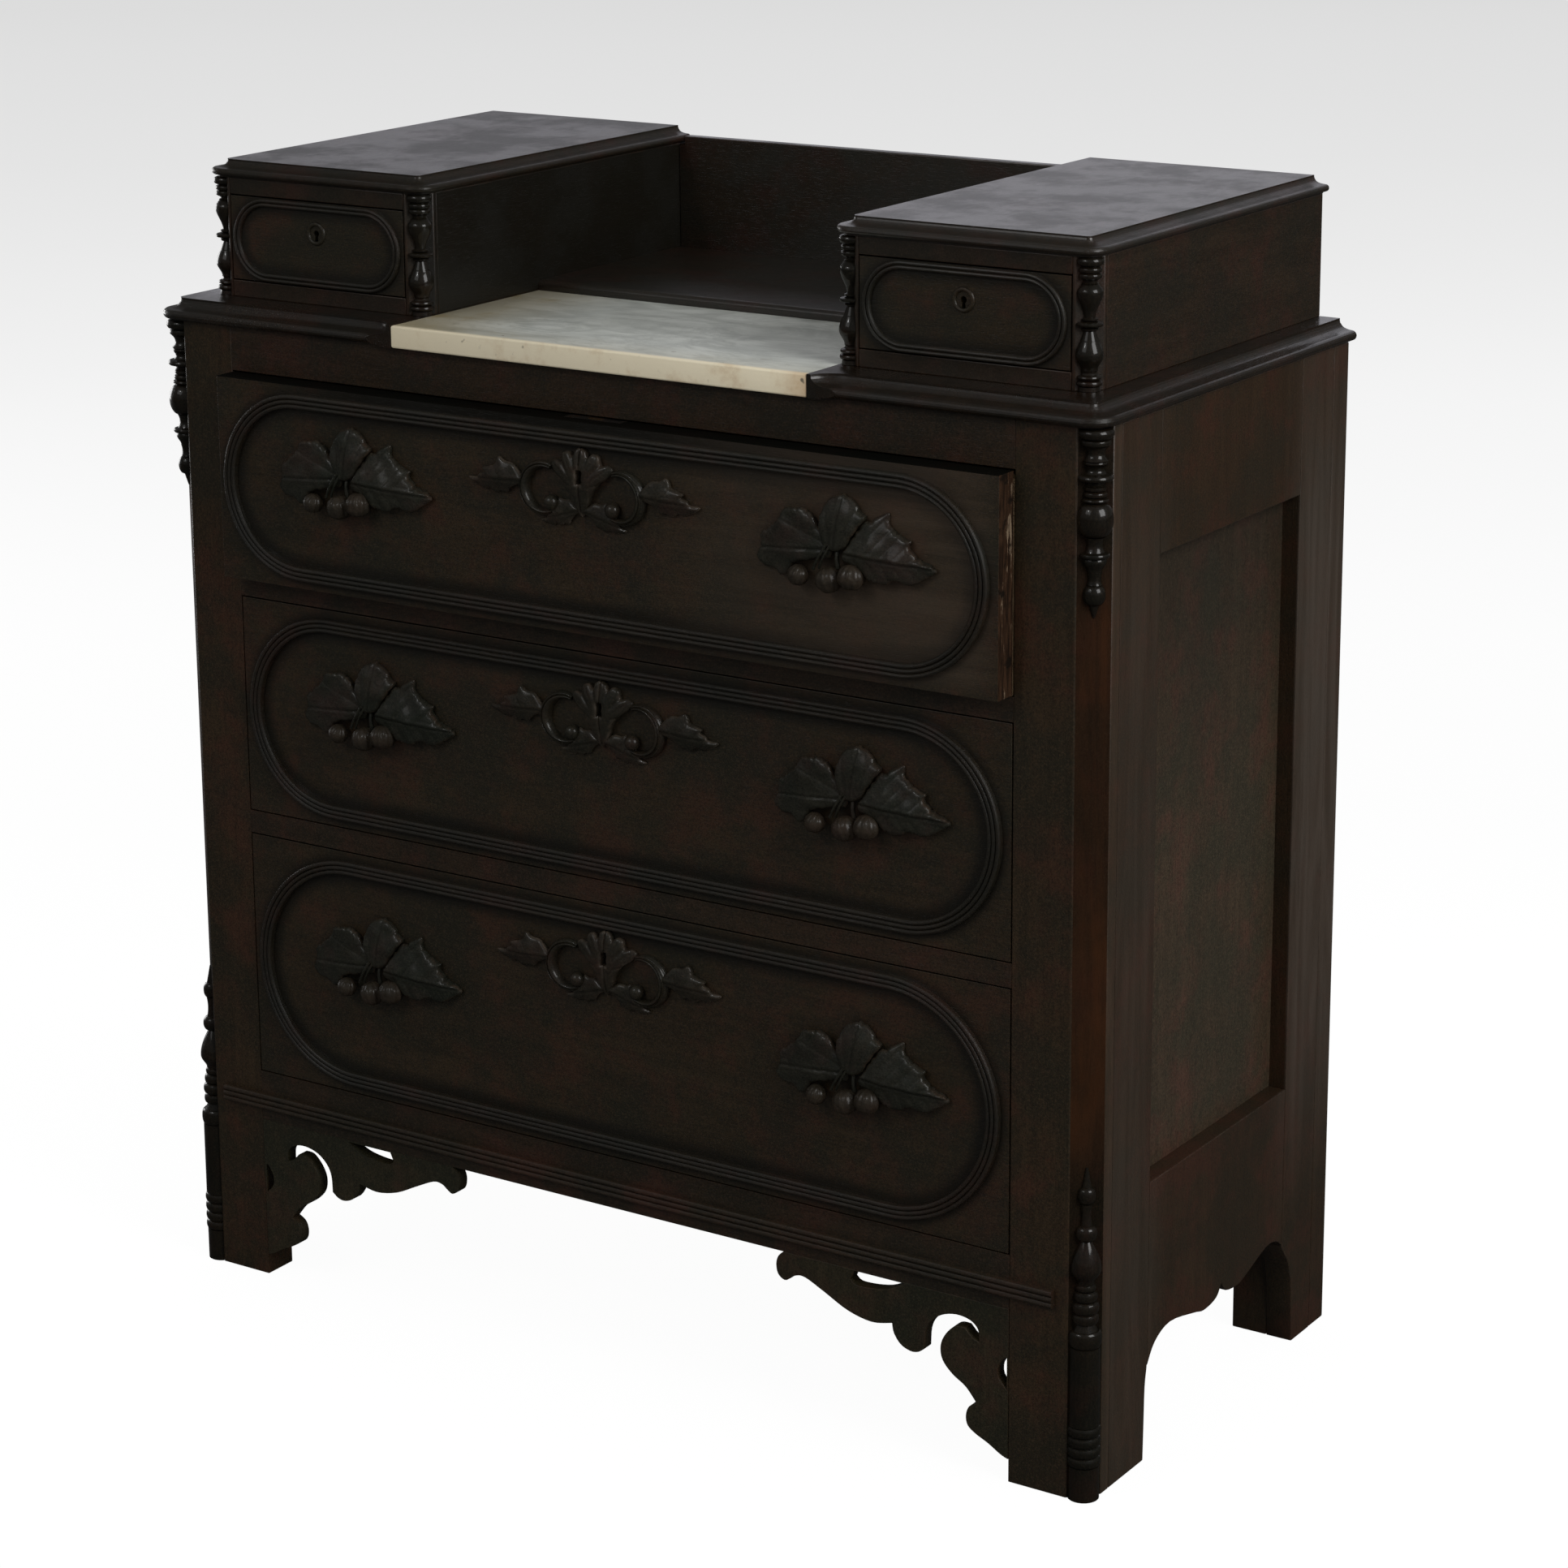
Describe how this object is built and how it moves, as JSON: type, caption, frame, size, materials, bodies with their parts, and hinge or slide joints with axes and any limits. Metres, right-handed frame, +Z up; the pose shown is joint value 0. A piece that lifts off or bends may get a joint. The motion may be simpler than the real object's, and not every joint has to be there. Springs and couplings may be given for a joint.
{
  "type": "washstand chest with marble top",
  "caption": "Washstand chest with long drawers, a marble slab in a well between small moulded boxes with drawers, split turnings, pierced brackets and carved pulls.",
  "frame": {"origin": "middle of the footprint on the floor, with the top drawer standing open as in the picture", "axes": "+X to the viewer's right, -Y out of the drawer fronts, +Z up"},
  "size_m": [1.014, 0.5109, 1.095],
  "materials": {
    "walnut": "aged dark varnish, rubbed on edges",
    "panel_walnut": "aged dark varnish, satin",
    "turned_walnut": "dark varnish, glossy",
    "carved_walnut": "dark varnish, worn on the high points",
    "secondary_wood": "bare, darkened with age",
    "marble": "honed, with yellowed edges",
    "lock_iron": "dull, browned",
    "bolt_brass": "dull"
  },
  "bodies": {
    "case": {"front_post_left": "walnut", "front_post_right": "walnut", "rear_post_left": "walnut", "rear_post_right": "walnut", "side_frame_left": "walnut", "side_frame_right": "walnut", "side_panel_left": "panel_walnut", "side_panel_right": "panel_walnut", "front_rails": "walnut", "base_moulding": "walnut", "bracket_left": "walnut", "bracket_right": "walnut", "drawer_runners": "secondary_wood", "back_boards": "secondary_wood", "top_bearers": "secondary_wood", "platform_left": "walnut", "platform_right": "walnut", "marble_slab": "marble", "well_shelf": "walnut", "backboard": "walnut", "box_case_left": "walnut", "box_case_right": "walnut", "box_top_left": "walnut", "box_top_right": "walnut", "post_turnings": "turned_walnut", "box_turnings": "turned_walnut"},
    "bottom_drawer": {"bottom_drawer_front": "walnut", "bottom_drawer_box": "secondary_wood", "bottom_drawer_moulding": "walnut", "bottom_drawer_pulls": "carved_walnut", "bottom_drawer_escutcheon": "carved_walnut", "bottom_drawer_lock": "lock_iron"},
    "bottom_drawer_bolt": {"bottom_drawer_bolt": "bolt_brass"},
    "middle_drawer": {"middle_drawer_front": "walnut", "middle_drawer_box": "secondary_wood", "middle_drawer_moulding": "walnut", "middle_drawer_pulls": "carved_walnut", "middle_drawer_escutcheon": "carved_walnut", "middle_drawer_lock": "lock_iron"},
    "middle_drawer_bolt": {"middle_drawer_bolt": "bolt_brass"},
    "top_drawer": {"top_drawer_front": "walnut", "top_drawer_box": "secondary_wood", "top_drawer_moulding": "walnut", "top_drawer_pulls": "carved_walnut", "top_drawer_escutcheon": "carved_walnut", "top_drawer_lock": "lock_iron"},
    "top_drawer_bolt": {"top_drawer_bolt": "bolt_brass"},
    "left_box_drawer": {"left_box_drawer_front": "walnut", "left_box_drawer_tray": "secondary_wood", "left_box_drawer_moulding": "walnut", "left_box_drawer_key_ring": "turned_walnut", "left_box_drawer_lock": "lock_iron"},
    "left_box_drawer_bolt": {"left_box_drawer_bolt": "bolt_brass"},
    "right_box_drawer": {"right_box_drawer_front": "walnut", "right_box_drawer_tray": "secondary_wood", "right_box_drawer_moulding": "walnut", "right_box_drawer_key_ring": "turned_walnut", "right_box_drawer_lock": "lock_iron"},
    "right_box_drawer_bolt": {"right_box_drawer_bolt": "bolt_brass"}
  },
  "joints": [
    {"name": "bottom_drawer_slide", "type": "slide", "parent": "case", "child": "bottom_drawer", "axis": [0, -1, 0], "range_m": [0, 0.3]},
    {"name": "bottom_drawer_bolt_slide", "type": "slide", "parent": "bottom_drawer", "child": "bottom_drawer_bolt", "axis": [0, 0, 1], "range_m": [0, 0.007]},
    {"name": "middle_drawer_slide", "type": "slide", "parent": "case", "child": "middle_drawer", "axis": [0, -1, 0], "range_m": [0, 0.3]},
    {"name": "middle_drawer_bolt_slide", "type": "slide", "parent": "middle_drawer", "child": "middle_drawer_bolt", "axis": [0, 0, 1], "range_m": [0, 0.007]},
    {"name": "top_drawer_slide", "type": "slide", "parent": "case", "child": "top_drawer", "axis": [0, -1, 0], "range_m": [-0.024, 0.276]},
    {"name": "top_drawer_bolt_slide", "type": "slide", "parent": "top_drawer", "child": "top_drawer_bolt", "axis": [0, 0, 1], "range_m": [0, 0.007]},
    {"name": "left_box_drawer_slide", "type": "slide", "parent": "case", "child": "left_box_drawer", "axis": [0, -1, 0], "range_m": [0, 0.27]},
    {"name": "left_box_drawer_bolt_slide", "type": "slide", "parent": "left_box_drawer", "child": "left_box_drawer_bolt", "axis": [0, 0, 1], "range_m": [0, 0.004]},
    {"name": "right_box_drawer_slide", "type": "slide", "parent": "case", "child": "right_box_drawer", "axis": [0, -1, 0], "range_m": [0, 0.27]},
    {"name": "right_box_drawer_bolt_slide", "type": "slide", "parent": "right_box_drawer", "child": "right_box_drawer_bolt", "axis": [0, 0, 1], "range_m": [0, 0.004]}
  ]
}
